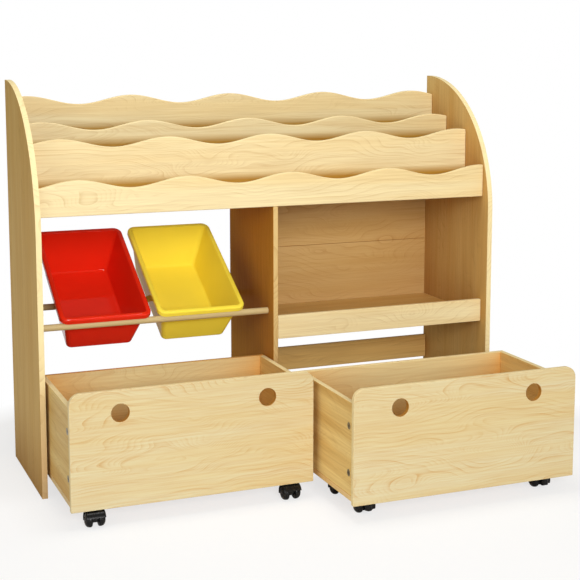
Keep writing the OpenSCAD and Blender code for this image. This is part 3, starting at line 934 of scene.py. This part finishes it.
def floor_material(tone):
    """Pale floor that keeps soft shadows near the object and turns white further out."""
    made = Shader("studio_floor")
    made.bsdf.inputs["Roughness"].default_value = 0.9
    made.bsdf.inputs["Specular IOR Level"].default_value = 0.1
    far = made.node("VectorMath", operation="DISTANCE")
    far.inputs[1].default_value = FLOOR_MIDDLE
    made.link(made.coords.outputs["Object"], far.inputs[0])
    fade = made.span(far.outputs["Value"], *FLOOR_FADE)
    path = made.node("LightPath")
    camera_ray = path.outputs["Is Camera Ray"]
    made.link(made.mix(camera_ray, tone, (1, 1, 1)), made.bsdf.inputs["Base Color"])
    seen = made.math("MAXIMUM", camera_ray, path.outputs["Is Glossy Ray"])
    white = made.node("Emission")
    white.inputs["Color"].default_value = (1, 1, 1, 1)
    blend = made.node("MixShader")
    lit = made.math("MULTIPLY", camera_ray, FLOOR_WHITE)
    made.link(made.math("MAXIMUM", made.math("MULTIPLY", fade, seen), lit), blend.inputs[0])
    made.link(made.bsdf.outputs[0], blend.inputs[1])
    made.link(white.outputs[0], blend.inputs[2])
    made.link(blend.outputs[0], made.tree.nodes["Material Output"].inputs["Surface"])
    return made.mat


def lay_floor(tone):
    """The plain floor that the object stands on."""
    deselect_all()
    bpy.ops.mesh.primitive_plane_add(size=FLOOR_SIZE, location=(0, 0, 0))
    floor = bpy.context.object
    floor.name = "floor"
    floor.data.materials.append(floor_material(tone))


def even_room(tone, strength):
    """Even light from all sides, and white where the camera sees it."""
    world = bpy.data.worlds.new("room")
    bpy.context.scene.world = world
    world.use_nodes = True
    tree = world.node_tree
    even = tree.nodes["Background"]
    even.inputs["Color"].default_value = (*tone, 1)
    even.inputs["Strength"].default_value = strength
    white = tree.nodes.new("ShaderNodeBackground")
    white.inputs["Color"].default_value = (1, 1, 1, 1)
    path = tree.nodes.new("ShaderNodeLightPath")
    blend = tree.nodes.new("ShaderNodeMixShader")
    tree.links.new(path.outputs["Is Camera Ray"], blend.inputs[0])
    tree.links.new(even.outputs[0], blend.inputs[1])
    tree.links.new(white.outputs[0], blend.inputs[2])
    tree.links.new(blend.outputs[0], tree.nodes["World Output"].inputs["Surface"])


class BOOKCASE_OT_stage(bpy.types.Operator):
    """Sets up the floor, the lights, the world and the camera"""
    bl_idname = "bookcase.stage"
    bl_label = "Stage"

    def execute(self, context):
        scene = context.scene
        stage = scene.bookcase_stage
        lay_floor(tuple(stage.floor_tone))
        area_light("key", *KEY, stage.key_watts)
        area_light("fill", *FILL, stage.fill_watts)
        area_light("top", *TOP, stage.top_watts)
        even_room(stage.sky_tone, stage.sky)
        camera = bpy.data.cameras.new("camera")
        camera.lens = stage.lens
        camera.sensor_width = SENSOR_WIDTH
        camera.shift_x, camera.shift_y = CAMERA_SHIFT
        view = bpy.data.objects.new("camera", camera)
        scene.collection.objects.link(view)
        view.location = CAMERA_PLACE
        view.rotation_euler = CAMERA_TURN
        scene.camera = view
        scene.view_settings.view_transform = "Standard"
        return {"FINISHED"}


OPERATORS = (
    BOOKCASE_OT_panels,
    BOOKCASE_OT_rack,
    BOOKCASE_OT_cubby,
    BOOKCASE_OT_rods,
    BOOKCASE_OT_bins,
    BOOKCASE_OT_boxes,
    BOOKCASE_OT_fittings,
    BOOKCASE_OT_casters,
    BOOKCASE_OT_stage,
)


class BOOKCASE_PT_sidebar(bpy.types.Panel):
    bl_idname = "BOOKCASE_PT_sidebar"
    bl_label = "Bookcase"
    bl_space_type = "VIEW_3D"
    bl_region_type = "UI"
    bl_category = "Bookcase"

    def draw(self, context):
        for group in (getattr(context.scene, name) for name in GROUPS):
            box = self.layout.box()
            for name in group.__annotations__:
                box.prop(group, name)
        for operator in OPERATORS:
            self.layout.operator(operator.bl_idname)


GROUPS = {"bookcase_look": BookcaseLook, "bookcase_sizes": BookcaseSizes, "bookcase_stage": BookcaseStage}


def register():
    for group in (*GROUPS.values(), *OPERATORS, BOOKCASE_PT_sidebar):
        bpy.utils.register_class(group)
    for name, group in GROUPS.items():
        setattr(bpy.types.Scene, name, bpy.props.PointerProperty(type=group))


def unregister():
    for name in GROUPS:
        delattr(bpy.types.Scene, name)
    for group in (BOOKCASE_PT_sidebar, *reversed(OPERATORS), *GROUPS.values()):
        bpy.utils.unregister_class(group)


def main():
    register()
    bpy.ops.bookcase.panels()
    bpy.ops.bookcase.rack()
    bpy.ops.bookcase.cubby()
    bpy.ops.bookcase.rods()
    bpy.ops.bookcase.bins()
    bpy.ops.bookcase.boxes()
    bpy.ops.bookcase.fittings()
    bpy.ops.bookcase.casters()
    bpy.ops.bookcase.stage()


if __name__ == "__main__":
    main()
